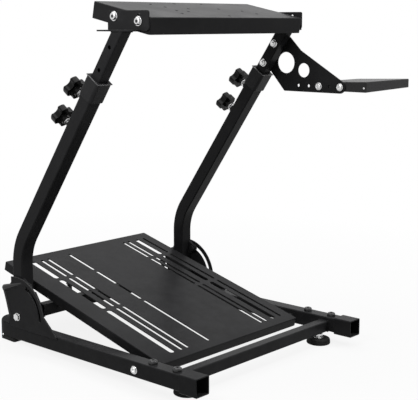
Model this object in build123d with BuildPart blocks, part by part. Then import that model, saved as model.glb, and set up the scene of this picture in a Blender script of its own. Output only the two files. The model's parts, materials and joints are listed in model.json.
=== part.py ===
from build123d import *
from math import asin, atan2, cos, degrees, hypot, radians, sin
import os

# Racing wheel stand. X runs to the user's right, Y away from the user, Z up from the floor.
# The stand is laid out about its middle plane, with Y zero at the front ends of the base sockets,
# and is shifted at the end so that the middle of its footprint is the origin.

os.makedirs("parts", exist_ok=True)

# Base frame
rail_pitch = 510.0
rail_wall = 2.0
rail_front = 26.0
rail_rear = 586.0
floor_gap = 21.0
tube_corner = 3.0
socket_wall = 2.5
socket_length = 44.0
front_tube_section = 25.0
front_tube_y = 74.0
rear_tube_section = 26.0
rear_tube_y = 499.0
rear_tube_z = 90.0
cross_wall = 2.0
cap_flange = 9.0
cap_plug = 12.0
cap_fit = 0.1
cap_hood = 16.0
cap_hood_length = 30.0
cap_round = 18.0
cap_brow = 12.0
cap_foot_round = 3.0
foot_radius = 27.0
foot_pad_height = 12.0
foot_neck_radius = 8.0
foot_inset = 36.0
front_foot_drop = 24.0
rear_pad_drop = 8.0
rear_pad_length = 48.0
rear_pad_y = 574.0
rear_pad_corner = 5.0

# Fold pivot and its fan brackets
upright_section = 32.0
fork_gap = 0.5
fork_plate = 3.0
pivot_y = 532.0
pivot_rise = 21.5
pivot_radius = 5.0
running_gap = 0.05
slide_gap = 0.2
fan_radius = 90.0
fan_rear_reach = 19.0
fan_front_angle = 170.0
slot_radius = 76.5
slot_low_angle = 176.0
lock_angle = 112.0
fold_travel = 46.0
lock_radius = 4.0
rail_lap = 4.0
fan_toe = 131.5
fan_heel = (24.0, -4.0)
web_foot = (30.0, 1.0)
web_head = (47.0, 57.0)
lip_radius = 5.5
ridge_reach = 55.0
ridge_rise = 11.0
ridge_tip = 1.5
cheek_front = 50.0
cheek_top = 52.0
cheek_corner = 22.0
bolt_head_height = 6.0
head_gap = 0.3

# Bent uprights
upright_wall = 2.5
bend_rise = 153.4
bend_radius = 120.0
lean = 34.7
lean_length = 455.0
lug_width = 8.0
lug_round = 8.5
lock_nut = 7.0
lock_nut_height = 5.0
bush_radius = 8.5
collar_wall = 3.5
collar_length = 44.0
collar_lip = 2.5

# Clamp knobs behind the uprights
knob_drops = (56.0, 127.0)
stud_radius = 4.0
boss_radius = 9.0
boss_height = 8.0
knob_standoff = 26.0
knob_thickness = 17.0
knob_radius = 23.4
knob_lobes = 4
knob_turn = 23.0
bite_radius = 11.5
bite_circle = 27.5
knob_tip = 3.5
knob_edge = 3.0
hub_radius = 10.5
hub_length = 11.0
washer_radius = 8.5
washer_thickness = 2.0
stud_pocket = 10.0
stud_tip_gap = 0.3

# Sliding inner tubes and the saddles on top of them
inner_gap = 0.3
inner_wall = 2.0
inner_engaged = 300.0
inner_exposed = 115.0
arm_hole_heights = (24.0, 78.0)
arm_hole_radius = 4.2
saddle_thickness = 3.0
saddle_bend = 4.0
ear_front = 94.0
ear_rear = 18.6
ear_top = 11.0
ear_corner = 4.0
ear_foot_round = 9.0
saddle_setback = 20.0
saddle_corner = 8.0
saddle_overhang = 2.0

# Wheel deck
deck_width = 474.0
deck_depth = 164.0
deck_flange = 33.6
deck_sheet = 2.0
deck_corner = 5.0
deck_bend = 2.5
deck_pitch = 11.5
deck_gap = 0.5
deck_pivot_back = 35.4
deck_pivot_rise = 28.9
deck_pivot_inset = 96.0
deck_pivot_drop = 17.0
deck_tilt_inset = 28.5
deck_tilt_drop = 13.0
deck_tilt_travel = 8.0
deck_bolt_radius = 4.0
deck_bolt_head = 11.0
deck_nut_radius = 8.0
deck_hole_radius = 3.5
deck_holes = (
    (-105.0, 136.0),
    (-90.0, 108.0),
    (-22.0, 148.0),
    (-93.0, 72.0),
    (-37.0, 92.0),
    (-67.0, 64.0),
    (-108.0, 42.0),
    (62.0, 148.0),
    (60.0, 94.0),
    (10.0, 19.0),
    (115.0, 74.0),
    (129.0, 44.0),
)

# Shifter arm and tray
arm_sheet = 3.0
arm_row_drop = 49.7
arm_row_reach = 195.3
arm_row_pitch = 28.5
arm_row_count = 5
arm_row_hole = 3.4
arm_end_round = 14.0
arm_lift = 8.0
arm_top = 104.0
arm_heel = 41.0
arm_shoulder_reach = 86.5
arm_shoulder_rise = 29.0
arm_large_hole = 24.0
arm_large_reach = 45.0
arm_large_drop = -0.8
arm_small_hole = 16.0
arm_small_reach = 95.3
arm_small_drop = 15.2
tray_width = 180.0
tray_ahead = 66.0
tray_behind = 74.0
tray_height = 18.5
tray_sheet = 2.0
tray_corner = 4.0

# Pedal plate
plate_width = 446.4
plate_depth = 517.6
plate_sheet = 2.0
plate_flange = 20.0
plate_corner = 4.0
plate_bend = 2.0
plate_pitch = 14.9
plate_front_y = 138.4
plate_front_z = 41.9
plate_bolt_inset = 30.0
plate_bolt_drop = 13.0
plate_bolt_radius = 4.0
spacer_radius = 8.0
slot_ends = ((25.0, 227.0), (237.0, 388.0), (398.0, 490.0))
narrow_rows = (-139.0, -120.0, -55.0, 124.0, 141.0, 193.0)
wide_rows = (-165.0, 169.0)
narrow_slot = 7.0
wide_slot = 13.0
support_width = 40.0
support_wall = 2.0
support_x = 150.0

# Worked out from the sizes above
rail_section = upright_section + 2 * fork_gap
socket_section = rail_section + 2 * socket_wall
rail_mid = floor_gap + rail_section / 2
rail_top = floor_gap + rail_section
side_x = rail_pitch / 2
rail_inner_x = side_x - rail_section / 2
pivot_z = rail_top + pivot_rise
floor_front = floor_gap - front_foot_drop
floor_rear = floor_gap - rear_pad_drop
floor_tilt = degrees(atan2(floor_rear - floor_front, rear_pad_y - front_tube_y))
floor_up = Vector(0, -sin(radians(floor_tilt)), cos(radians(floor_tilt)))
fork_half = rail_section / 2
fork_outer = fork_half + fork_plate
bend_z = pivot_z + bend_rise
lean_sin = sin(radians(lean))
lean_cos = cos(radians(lean))
lean_axis = Vector(0, -lean_sin, lean_cos)
rear_normal = Vector(0, lean_cos, lean_sin)
inner_section = upright_section - 2 * upright_wall - 2 * inner_gap
saddle_z = bend_z + (lean_length + inner_exposed) * lean_cos
saddle_y = pivot_y - (lean_length + inner_exposed) * lean_sin
deck_pivot_y = saddle_y + deck_pivot_back
deck_pivot_z = saddle_z + deck_pivot_rise
ear_inner_x = deck_width / 2 + deck_gap
ear_outer_x = ear_inner_x + saddle_thickness
arm_face_x = side_x + inner_section / 2
tray_face_x = arm_face_x + arm_sheet

SIDES = {"left": -1, "right": 1}
pieces = {}


def lean_point(x, distance):
    """A point on an upright's sloping centre line, measured from its bend."""
    return Vector(x, pivot_y, bend_z) + lean_axis * distance


def arc_slot(radius, start, travel, width):
    """A flat round-ended slot that follows an arc about the origin."""
    half = width / 2
    finish = start + travel
    with BuildSketch() as slot:
        with BuildLine():
            CenterArc((0, 0), radius + half, start, travel)
            CenterArc((0, 0), radius - half, start, travel)
            near_end = (radius * cos(radians(start)), radius * sin(radians(start)))
            far_end = (radius * cos(radians(finish)), radius * sin(radians(finish)))
            CenterArc(near_end, half, start + 180, 180)
            CenterArc(far_end, half, finish, 180)
        make_face()
    return slot.sketch


def square_tube(start, section, wall, length):
    """A square tube with rounded corners that leaves the start plane along its normal."""
    inner_corner = max(tube_corner - wall, 0.4)
    with BuildPart() as tube:
        with BuildSketch(start):
            RectangleRounded(section, section, tube_corner)
            bore = section - 2 * wall
            RectangleRounded(bore, bore, inner_corner, mode=Mode.SUBTRACT)
        extrude(amount=length)
    return tube.part


def headed_pin(start, shank, length, head, head_height, nut, nut_height, nut_at):
    """A pin turned about the start plane's normal, with a head behind it and a nut along it."""
    with BuildPart() as pin:
        with BuildSketch(start.offset(-head_height)):
            RegularPolygon(head, 6)
        extrude(amount=head_height)
        with BuildSketch(start):
            Circle(shank)
        extrude(amount=length)
        with BuildSketch(start.offset(nut_at)):
            RegularPolygon(nut, 6)
        extrude(amount=nut_height)
    return pin.part


# Side rails, front sockets, rear caps
for name, side in SIDES.items():
    rail_x = side * side_x
    along_y = Plane(origin=(rail_x, rail_front, rail_mid), x_dir=(1, 0, 0), z_dir=(0, 1, 0))
    with BuildPart() as rail:
        add(square_tube(along_y, rail_section, rail_wall, rail_rear - rail_front))
        bolt_y = plate_front_y + plate_bolt_inset * cos(radians(plate_pitch))
        bolt_z = plate_front_z + plate_bolt_inset * sin(radians(plate_pitch)) - plate_bolt_drop
        with Locations(Location((rail_x, bolt_y, bolt_z), (0, 90, 0))):
            Cylinder(plate_bolt_radius + slide_gap, 2 * rail_section, mode=Mode.SUBTRACT)
    pieces[f"rail_{name}"] = rail.part

    mouth = Plane(origin=(rail_x, 0, rail_mid), x_dir=(1, 0, 0), z_dir=(0, 1, 0))
    pieces[f"socket_{name}"] = square_tube(mouth, socket_section, socket_wall, socket_length)

    rail_edge_x = rail_x - rail_section / 2
    cap_side = Plane(origin=(rail_edge_x, rail_rear, floor_gap), x_dir=(0, 1, 0), z_dir=(1, 0, 0))
    cap_back = Plane(origin=(rail_x, rail_rear, floor_gap), x_dir=(-1, 0, 0), z_dir=(0, 1, 0))
    with BuildPart() as cap:
        with BuildSketch(cap_side) as cap_shape:
            hood_front = cap_flange - cap_hood_length
            hood_top = rail_section + cap_hood
            with BuildLine():
                Polyline(
                    (0, 0),
                    (cap_flange, 0),
                    (cap_flange, hood_top),
                    (hood_front, hood_top),
                    (hood_front, rail_section),
                    (0, rail_section),
                    close=True,
                )
            make_face()
            fillet(cap_shape.vertices().group_by(Axis.Y)[0].sort_by(Axis.X)[-1], cap_foot_round)
            fillet(cap_shape.vertices().group_by(Axis.Y)[-1].sort_by(Axis.X)[-1], cap_round)
        extrude(amount=rail_section)
        with BuildSketch(cap_back) as cap_end:
            with Locations((0, hood_top / 2)):
                Rectangle(rail_section, hood_top)
            fillet(cap_end.vertices().group_by(Axis.Y)[-1], cap_brow)
        extrude(amount=cap_hood_length, both=True, mode=Mode.INTERSECT)
        with BuildSketch(along_y.offset(rail_rear - rail_front)):
            plug = rail_section - 2 * rail_wall - 2 * cap_fit
            RectangleRounded(plug, plug, tube_corner - rail_wall)
        extrude(amount=-cap_plug)
    pieces[f"rail_cap_{name}"] = cap.part

# Cross tubes between the rails and between the brackets
front_span = 2 * rail_inner_x
across_front = Plane(
    origin=(-front_span / 2, front_tube_y, floor_gap + front_tube_section / 2),
    x_dir=(0, 1, 0),
    z_dir=(1, 0, 0),
)
pieces["front_cross_tube"] = square_tube(across_front, front_tube_section, cross_wall, front_span)
rear_span = 2 * (side_x - fork_outer)
across_rear = Plane(origin=(-rear_span / 2, rear_tube_y, rear_tube_z), x_dir=(0, 1, 0), z_dir=(1, 0, 0))
pieces["rear_cross_tube"] = square_tube(across_rear, rear_tube_section, cross_wall, rear_span)


def front_foot(x):
    """A round rubber foot with a rolled edge, flat on the floor, its neck cut by the tube's underside."""
    base = Vector(x, front_tube_y, floor_front)
    upright_plane = Plane(origin=base, x_dir=(1, 0, 0), z_dir=(0, -floor_up.Z, floor_up.Y))
    with BuildPart() as foot:
        with BuildSketch(upright_plane):
            with BuildLine():
                Polyline(
                    (0, 0),
                    (foot_radius - 2, 0),
                    (foot_radius, 2),
                    (foot_radius - 2, foot_pad_height),
                    (foot_neck_radius + 3, foot_pad_height),
                    (foot_neck_radius, foot_pad_height + 3),
                    (foot_neck_radius, 2 * front_foot_drop),
                    (0, 2 * front_foot_drop),
                    close=True,
                )
            make_face()
        revolve(axis=Axis(base, floor_up))
        split(bisect_by=Plane.XY.offset(floor_gap), keep=Keep.BOTTOM)
    return foot.part


def rear_pad(x):
    """A rubber pad under a rail's rear end, its underside cut to stand flat on the floor."""
    with BuildPart() as pad:
        with BuildSketch(Plane(origin=(x, rear_pad_y, floor_gap))):
            RectangleRounded(rail_section, rear_pad_length, rear_pad_corner)
        extrude(amount=-2 * rear_pad_drop)
        floor_plane = Plane(origin=(x, rear_pad_y, floor_rear), x_dir=(1, 0, 0), z_dir=floor_up)
        split(bisect_by=floor_plane, keep=Keep.TOP)
    return pad.part


for name, side in SIDES.items():
    pieces[f"foot_front_{name}"] = front_foot(side * (side_x - foot_inset))
    pieces[f"foot_rear_{name}"] = rear_pad(side * side_x)


def web_ridge(side):
    """A tapered ridge pressed out of a fan plate, from the web's top corner forwards."""
    outward = Vector(side, 0, 0)
    plate_mid = side * (side_x + fork_half + fork_plate / 2)
    rear_end = Vector(plate_mid, pivot_y + web_head[0] - lip_radius + 2, pivot_z + web_head[1])
    direction = Vector(0, -ridge_reach, ridge_rise)
    with BuildPart() as ridge:
        with Locations(Plane(origin=rear_end, x_dir=(1, 0, 0), z_dir=direction).location):
            Cone(lip_radius, ridge_tip, direction.length, align=(Align.CENTER, Align.CENTER, Align.MIN))
        with Locations(rear_end):
            Sphere(lip_radius)
        inner_face = Plane(origin=(side * (side_x + fork_half), 0, 0), x_dir=(0, 1, 0), z_dir=outward)
        split(bisect_by=inner_face, keep=Keep.TOP)
    return ridge.part


def fan_bracket(side):
    """An outer fan plate with a slot, a rear web with a rolled lip and a plain inner cheek."""
    mid_x = side * side_x
    plate_bottom = rail_top - rail_lap - pivot_z
    outer_x = min(side * (side_x + fork_half), side * (side_x + fork_outer))
    inner_x = min(side * (side_x - fork_half), side * (side_x - fork_outer))
    web_slope = (web_head[0] - web_foot[0]) / (web_head[1] - web_foot[1])
    with BuildPart() as bracket:
        with BuildSketch(Plane(origin=(outer_x, pivot_y, pivot_z), x_dir=(0, 1, 0), z_dir=(1, 0, 0))):
            with BuildLine():
                rear_angle = degrees(atan2((fan_radius**2 - fan_rear_reach**2) ** 0.5, fan_rear_reach))
                arc = CenterArc((0, 0), fan_radius, rear_angle, fan_front_angle - rear_angle)
                Polyline(
                    arc @ 1,
                    (-fan_toe, rail_top - pivot_z),
                    (-fan_toe, plate_bottom),
                    (0, plate_bottom),
                    fan_heel,
                    web_foot,
                    web_head,
                    (fan_rear_reach, web_head[1] + lip_radius + 6),
                    arc @ 0,
                )
            make_face()
            slot_width = 2 * (lock_radius + slide_gap)
            slot_sweep = slot_low_angle - lock_angle
            add(arc_slot(slot_radius, lock_angle, slot_sweep, slot_width), mode=Mode.SUBTRACT)
            Circle(pivot_radius + running_gap, mode=Mode.SUBTRACT)
        extrude(amount=fork_plate)
        with BuildSketch(Plane(origin=(inner_x, pivot_y, pivot_z), x_dir=(0, 1, 0), z_dir=(1, 0, 0))):
            with BuildLine():
                Polyline(
                    (-cheek_front, plate_bottom),
                    (-cheek_front, cheek_top - cheek_corner),
                    (-cheek_front + cheek_corner, cheek_top),
                    (web_foot[0] + (cheek_top - web_foot[1]) * web_slope, cheek_top),
                    web_foot,
                    fan_heel,
                    (0, plate_bottom),
                    close=True,
                )
            make_face()
            Circle(pivot_radius + running_gap, mode=Mode.SUBTRACT)
        extrude(amount=fork_plate)
        start = Plane(origin=(mid_x - fork_outer, pivot_y, pivot_z), x_dir=(0, 1, 0), z_dir=(1, 0, 0))
        with BuildSketch(start):
            with BuildLine():
                Polyline(
                    web_foot,
                    web_head,
                    (web_head[0] - fork_plate, web_head[1]),
                    (web_foot[0] - fork_plate, web_foot[1]),
                    close=True,
                )
            make_face()
            with Locations((web_head[0] - lip_radius + 2, web_head[1])):
                Circle(lip_radius)
        extrude(amount=2 * fork_outer)
        add(web_ridge(side))
    return bracket.part


def bent_upright(side):
    """A square tube that rises from the pivot, bends and leans towards the user."""
    mid_x = side * side_x
    hinge = Plane(origin=(mid_x, pivot_y, pivot_z), x_dir=(0, 1, 0), z_dir=(1, 0, 0))
    half = upright_section / 2
    bore = upright_section - 2 * upright_wall
    with BuildPart() as upright:
        with BuildLine(hinge):
            bend = FilletPolyline(
                (0, 0),
                (0, bend_rise),
                (-lean_length * lean_sin, bend_rise + lean_length * lean_cos),
                radius=bend_radius,
            )
        with BuildSketch(Plane(origin=(mid_x, pivot_y, pivot_z), x_dir=(1, 0, 0), z_dir=(0, 0, 1))):
            RectangleRounded(upright_section, upright_section, tube_corner)
            RectangleRounded(bore, bore, max(tube_corner - upright_wall, 0.4), mode=Mode.SUBTRACT)
        sweep(path=bend)
        for wall_x in (-half, half - upright_wall):
            with BuildSketch(hinge.offset(wall_x)):
                Circle(half)
            extrude(amount=upright_wall)
        with BuildSketch(hinge.offset(-half)):
            Circle(bush_radius)
        extrude(amount=upright_section)
        lock = (slot_radius * cos(radians(lock_angle)), slot_radius * sin(radians(lock_angle)))
        lug_start = half - lug_width if side > 0 else -half
        with BuildSketch(hinge.offset(lug_start)):
            with BuildLine():
                Polyline(
                    (-half, lock[1] - 2 * lug_round),
                    (lock[0], lock[1] - lug_round),
                    (lock[0], lock[1] + lug_round),
                    (-half, lock[1] + 2 * lug_round),
                    close=True,
                )
            make_face()
            with Locations(lock):
                Circle(lug_round)
                Circle(lock_radius + running_gap, mode=Mode.SUBTRACT)
        extrude(amount=lug_width)
        with BuildSketch(hinge.offset(-half)):
            Circle(pivot_radius + running_gap)
        extrude(amount=upright_section, mode=Mode.SUBTRACT)
        for drop in knob_drops:
            seat = lean_point(mid_x, lean_length - drop) + rear_normal * half
            boss_plane = Plane(origin=seat, x_dir=(1, 0, 0), z_dir=rear_normal)
            with BuildSketch(boss_plane):
                RegularPolygon(boss_radius, 6)
            extrude(amount=boss_height)
            with BuildSketch(boss_plane.offset(-upright_wall - 1)):
                Circle(stud_radius + running_gap)
            extrude(amount=upright_wall + boss_height + 2, mode=Mode.SUBTRACT)
    return upright.part


def lock_pin(start):
    """A headless pin that is flush with the fan plate, runs in its slot and has a nut behind the lug."""
    to_nut = fork_outer - upright_section / 2 + lug_width
    with BuildPart() as pin:
        with BuildSketch(start):
            Circle(lock_radius)
        extrude(amount=to_nut + lock_nut_height)
        with BuildSketch(start.offset(to_nut)):
            RegularPolygon(lock_nut, 6)
        extrude(amount=lock_nut_height)
    return pin.part


def top_collar(side):
    """A plastic collar over an upright's top end, which guides the inner tube."""
    outer = upright_section + 2 * collar_wall
    start = Plane(
        origin=lean_point(side * side_x, lean_length - collar_length), x_dir=(1, 0, 0), z_dir=lean_axis
    )
    with BuildPart() as collar:
        with BuildSketch(start):
            RectangleRounded(outer, outer, tube_corner + collar_wall)
        extrude(amount=collar_length + collar_lip)
        with BuildSketch(start):
            RectangleRounded(upright_section, upright_section, tube_corner)
        extrude(amount=collar_length, mode=Mode.SUBTRACT)
        with BuildSketch(start):
            opening = inner_section + 2 * inner_gap
            RectangleRounded(opening, opening, tube_corner)
        extrude(amount=collar_length + collar_lip, mode=Mode.SUBTRACT)
    return collar.part


def inner_tube(side):
    """The sliding tube, cut level at the top, with two cross holes for a shifter arm."""
    start = Plane(
        origin=lean_point(side * side_x, lean_length - inner_engaged), x_dir=(1, 0, 0), z_dir=lean_axis
    )
    with BuildPart() as tube:
        add(square_tube(start, inner_section, inner_wall, inner_engaged + inner_exposed + inner_section))
        split(bisect_by=Plane.XY.offset(saddle_z), keep=Keep.BOTTOM)
        for height in arm_hole_heights:
            centre = lean_point(side * side_x, lean_length + height)
            with Locations(Location(centre, (0, 90, 0))):
                Cylinder(arm_hole_radius, 2 * inner_section, mode=Mode.SUBTRACT)
    return tube.part


tilt_pitch = radians(deck_pitch)
deck_along = Vector(0, cos(tilt_pitch), sin(tilt_pitch))
deck_normal = Vector(0, -sin(tilt_pitch), cos(tilt_pitch))
deck_pivot = Vector(0, deck_pivot_y, deck_pivot_z)
deck_front = deck_pivot - deck_along * deck_pivot_inset + deck_normal * deck_pivot_drop
deck_plane = Plane(origin=deck_front, x_dir=(1, 0, 0), z_dir=deck_normal)
deck_tilt = deck_front + deck_along * deck_tilt_inset - deck_normal * deck_tilt_drop
tilt_arm = deck_tilt - deck_pivot
tilt_angle = degrees(atan2(tilt_arm.Z, tilt_arm.Y))


def saddle(side):
    """An angle on top of an inner tube: a level plate and an ear that holds the deck."""
    inner_x = side * ear_inner_x
    plate_end_x = max(side_x + inner_section / 2 + saddle_overhang, ear_outer_x + 2 * saddle_corner)
    reach = side * (plate_end_x - ear_inner_x)
    with BuildPart() as angle:
        with BuildSketch(Plane(origin=(0, deck_pivot_y + ear_rear, 0), x_dir=(1, 0, 0), z_dir=(0, -1, 0))):
            with BuildLine():
                Polyline(
                    (inner_x, saddle_z),
                    (inner_x + reach, saddle_z),
                    (inner_x + reach, saddle_z + saddle_thickness),
                    (inner_x + side * saddle_thickness, saddle_z + saddle_thickness),
                    (inner_x + side * saddle_thickness, deck_pivot_z + ear_top),
                    (inner_x, deck_pivot_z + ear_top),
                    close=True,
                )
            make_face()
        extrude(amount=ear_front + ear_rear)
        bend_edge = angle.edges().filter_by(Axis.Y).sort_by_distance((inner_x, deck_pivot_y, saddle_z))[0]
        fillet(bend_edge, saddle_bend)
        ear_corners = angle.edges().filter_by(Axis.X).group_by(Axis.Z)[-1]
        fillet(ear_corners, ear_corner)
        front_y = deck_pivot_y - ear_front
        cut_x = side * (ear_outer_x + side_x)
        with BuildSketch(Plane(origin=(cut_x, front_y, 0), z_dir=(0, 0, 1))):
            Rectangle(2 * side_x, 2 * saddle_setback)
        extrude(amount=saddle_z + saddle_thickness, mode=Mode.SUBTRACT)
        plate_corner_spot = (inner_x + reach, front_y + saddle_setback, saddle_z)
        plate_edge = angle.edges().filter_by(Axis.Z).sort_by_distance(plate_corner_spot)[0]
        fillet(plate_edge, saddle_corner)
        ear_x = min(inner_x, side * ear_outer_x)
        with BuildSketch(Plane(origin=(ear_x, front_y, saddle_z), x_dir=(0, 1, 0), z_dir=(1, 0, 0))):
            Rectangle(ear_foot_round, ear_foot_round, align=(Align.MIN, Align.MIN))
            with Locations((ear_foot_round, ear_foot_round)):
                Circle(ear_foot_round, mode=Mode.SUBTRACT)
        extrude(amount=saddle_thickness, mode=Mode.SUBTRACT)
        ear_plane = Plane(origin=(ear_x, deck_pivot_y, deck_pivot_z), x_dir=(0, 1, 0), z_dir=(1, 0, 0))
        with BuildSketch(ear_plane):
            Circle(deck_bolt_radius + running_gap)
            slot_width = 2 * (deck_bolt_radius + slide_gap)
            slot_start = tilt_angle - deck_tilt_travel - 1
            add(arc_slot(tilt_arm.length, slot_start, deck_tilt_travel + 2, slot_width))
        extrude(amount=saddle_thickness, mode=Mode.SUBTRACT)
    return angle.part


for name, side in SIDES.items():
    mid_x = side * side_x
    pieces[f"fan_bracket_{name}"] = fan_bracket(side)
    pieces[f"upright_{name}"] = bent_upright(side)
    pieces[f"top_collar_{name}"] = top_collar(side)
    pieces[f"inner_tube_{name}"] = inner_tube(side)
    pieces[f"saddle_{name}"] = saddle(side)
    outward = Plane(
        origin=(mid_x + side * fork_outer, pivot_y, pivot_z), x_dir=(0, 1, 0), z_dir=(-side, 0, 0)
    )
    pieces[f"pivot_bolt_{name}"] = headed_pin(
        outward, pivot_radius, 2 * fork_outer + bolt_head_height, 9, bolt_head_height, 9, 5, 2 * fork_outer
    )
    lock_y = pivot_y + slot_radius * cos(radians(lock_angle))
    lock_z = pivot_z + slot_radius * sin(radians(lock_angle))
    lock_plane = Plane(
        origin=(mid_x + side * fork_outer, lock_y, lock_z), x_dir=(0, 1, 0), z_dir=(-side, 0, 0)
    )
    pieces[f"lock_bolt_{name}"] = lock_pin(lock_plane)
    pivot_plane = Plane(
        origin=(side * ear_outer_x, deck_pivot_y, deck_pivot_z), x_dir=(0, 1, 0), z_dir=(-side, 0, 0)
    )
    grip = saddle_thickness + deck_gap + deck_sheet + head_gap
    pieces[f"deck_pivot_bolt_{name}"] = headed_pin(
        pivot_plane, deck_bolt_radius, grip + 8, deck_bolt_head, bolt_head_height, deck_nut_radius, 6, grip
    )
    tilt_head = (side * (ear_outer_x + head_gap), deck_tilt.Y, deck_tilt.Z)
    tilt_plane = Plane(origin=tilt_head, x_dir=(0, 1, 0), z_dir=(-side, 0, 0))
    pieces[f"deck_tilt_bolt_{name}"] = headed_pin(
        tilt_plane, deck_bolt_radius, grip + 8, deck_bolt_head, bolt_head_height, deck_nut_radius, 6, grip
    )

# Wheel deck, a folded pan with scattered mounting holes
with BuildPart() as deck:
    with BuildSketch(deck_plane):
        with Locations((0, deck_depth / 2)):
            RectangleRounded(deck_width, deck_depth, deck_corner)
    extrude(amount=-deck_flange)
    top_face = deck.faces().sort_by(Axis(deck_front, deck_normal))[-1]
    fillet(top_face.edges(), deck_bend)
    with BuildSketch(deck_plane.offset(-deck_sheet)):
        with Locations((0, deck_depth / 2)):
            inner_corner = deck_corner - deck_sheet
            RectangleRounded(deck_width - 2 * deck_sheet, deck_depth - 2 * deck_sheet, inner_corner)
    extrude(amount=-deck_flange, mode=Mode.SUBTRACT)
    with BuildSketch(deck_plane):
        with Locations(*deck_holes):
            Circle(deck_hole_radius)
    extrude(amount=-2 * deck_sheet, mode=Mode.SUBTRACT)
    with Locations(Location(deck_pivot, (0, 90, 0)), Location(deck_tilt, (0, 90, 0))):
        Cylinder(deck_bolt_radius + running_gap, 2 * deck_width, mode=Mode.SUBTRACT)
pieces["wheel_deck"] = deck.part

# Shifter arm, a flat plate on the outer face of the right inner tube
arm_low = lean_point(side_x, lean_length + arm_hole_heights[0])
arm_plane = Plane(origin=(arm_face_x, arm_low.Y, arm_low.Z), x_dir=(0, 1, 0), z_dir=(1, 0, 0))


def arm_spot(height, back):
    """Arm plane coordinates of a spot on the tube: height above the upright's end, distance to the rear."""
    spot = lean_point(side_x, lean_length + height) + rear_normal * back
    return (spot.Y - arm_low.Y, spot.Z - arm_low.Z)


half_inner = inner_section / 2
end_run = arm_row_reach - arm_shoulder_reach
end_rise = arm_row_drop + arm_shoulder_rise
end_slope = atan2(end_rise, end_run) - asin(arm_end_round / hypot(end_run, end_rise))
with BuildPart() as arm:
    with BuildSketch(arm_plane):
        with BuildLine():
            Polyline(
                arm_spot(arm_lift, half_inner),
                arm_spot(arm_lift, -half_inner),
                (-arm_heel, -arm_row_drop - arm_end_round),
                (-arm_row_reach, -arm_row_drop - arm_end_round),
                (
                    -arm_row_reach - arm_end_round * sin(end_slope),
                    -arm_row_drop + arm_end_round * cos(end_slope),
                ),
                (-arm_shoulder_reach, arm_shoulder_rise),
                arm_spot(arm_top, -half_inner),
                arm_spot(arm_top, half_inner),
                close=True,
            )
        make_face()
        with Locations((-arm_row_reach, -arm_row_drop)):
            Circle(arm_end_round)
        for height in arm_hole_heights:
            with Locations(arm_spot(height, 0)):
                Circle(arm_hole_radius, mode=Mode.SUBTRACT)
        for step in range(arm_row_count):
            with Locations((-arm_row_reach + step * arm_row_pitch, -arm_row_drop)):
                Circle(arm_row_hole, mode=Mode.SUBTRACT)
        with Locations((-arm_large_reach, -arm_large_drop)):
            Circle(arm_large_hole, mode=Mode.SUBTRACT)
        with Locations((-arm_small_reach, -arm_small_drop)):
            Circle(arm_small_hole, mode=Mode.SUBTRACT)
    extrude(amount=arm_sheet)
pieces["shifter_arm"] = arm.part

# Shifter tray, a shallow folded pan beside the arm
row_z = arm_low.Z - arm_row_drop
end_y = arm_low.Y - arm_row_reach
tray_top = Plane(origin=(tray_face_x, end_y - tray_ahead, row_z + tray_height / 2), z_dir=(0, 0, 1))
tray_length = tray_ahead + tray_behind
with BuildPart() as tray:
    with BuildSketch(tray_top):
        with Locations((tray_width / 2, tray_length / 2)):
            RectangleRounded(tray_width, tray_length, tray_corner)
    extrude(amount=-tray_height)
    fillet(tray.faces().sort_by(Axis.Z)[-1].edges(), tray_sheet)
    with BuildSketch(tray_top.offset(-tray_sheet)):
        with Locations((tray_width / 2, tray_length / 2)):
            inner_corner = tray_corner - tray_sheet
            RectangleRounded(tray_width - 2 * tray_sheet, tray_length - 2 * tray_sheet, inner_corner)
    extrude(amount=-tray_height, mode=Mode.SUBTRACT)
    for step in (0, 2):
        with Locations(Location((tray_face_x, end_y + step * arm_row_pitch, row_z), (0, 90, 0))):
            Cylinder(arm_row_hole, 4 * tray_sheet, mode=Mode.SUBTRACT)
pieces["shifter_tray"] = tray.part

# Pedal plate, a folded pan with rows of long slots
pitch = radians(plate_pitch)
plate_along = Vector(0, cos(pitch), sin(pitch))
plate_normal = Vector(0, -sin(pitch), cos(pitch))
plate_front = Vector(0, plate_front_y, plate_front_z)
plate_plane = Plane(origin=plate_front, x_dir=(1, 0, 0), z_dir=plate_normal)
with BuildPart() as plate:
    with BuildSketch(plate_plane):
        with Locations((0, plate_depth / 2)):
            RectangleRounded(plate_width, plate_depth, plate_corner)
    extrude(amount=-plate_flange)
    plate_face = plate.faces().sort_by(Axis(plate_front, plate_normal))[-1]
    fillet(plate_face.edges(), plate_bend)
    with BuildSketch(plate_plane.offset(-plate_sheet)):
        with Locations((0, plate_depth / 2)):
            hollow = plate_corner - plate_sheet
            RectangleRounded(plate_width - 2 * plate_sheet, plate_depth - 2 * plate_sheet, hollow)
    extrude(amount=-plate_flange, mode=Mode.SUBTRACT)
    with BuildSketch(plate_plane):
        for rows, width in ((narrow_rows, narrow_slot), (wide_rows, wide_slot)):
            for row_x in rows:
                for near, far in slot_ends:
                    with Locations((row_x, (near + far) / 2)):
                        SlotOverall(far - near, width, rotation=90)
    extrude(amount=-2 * plate_sheet, mode=Mode.SUBTRACT)
    with Locations(Location((0, bolt_y, bolt_z), (0, 90, 0))):
        Cylinder(plate_bolt_radius + slide_gap, 2 * plate_width, mode=Mode.SUBTRACT)
pieces["pedal_plate"] = plate.part

# Spacers between the rails and the pedal plate, and posts under its rear
with BuildPart() as spacers:
    for side in SIDES.values():
        start_x = side * rail_inner_x
        with BuildSketch(Plane(origin=(start_x, bolt_y, bolt_z), x_dir=(0, 1, 0), z_dir=(-side, 0, 0))):
            Circle(spacer_radius)
            Circle(plate_bolt_radius + slide_gap, mode=Mode.SUBTRACT)
        extrude(amount=rail_inner_x - plate_width / 2)
pieces["plate_spacers"] = spacers.part

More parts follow.
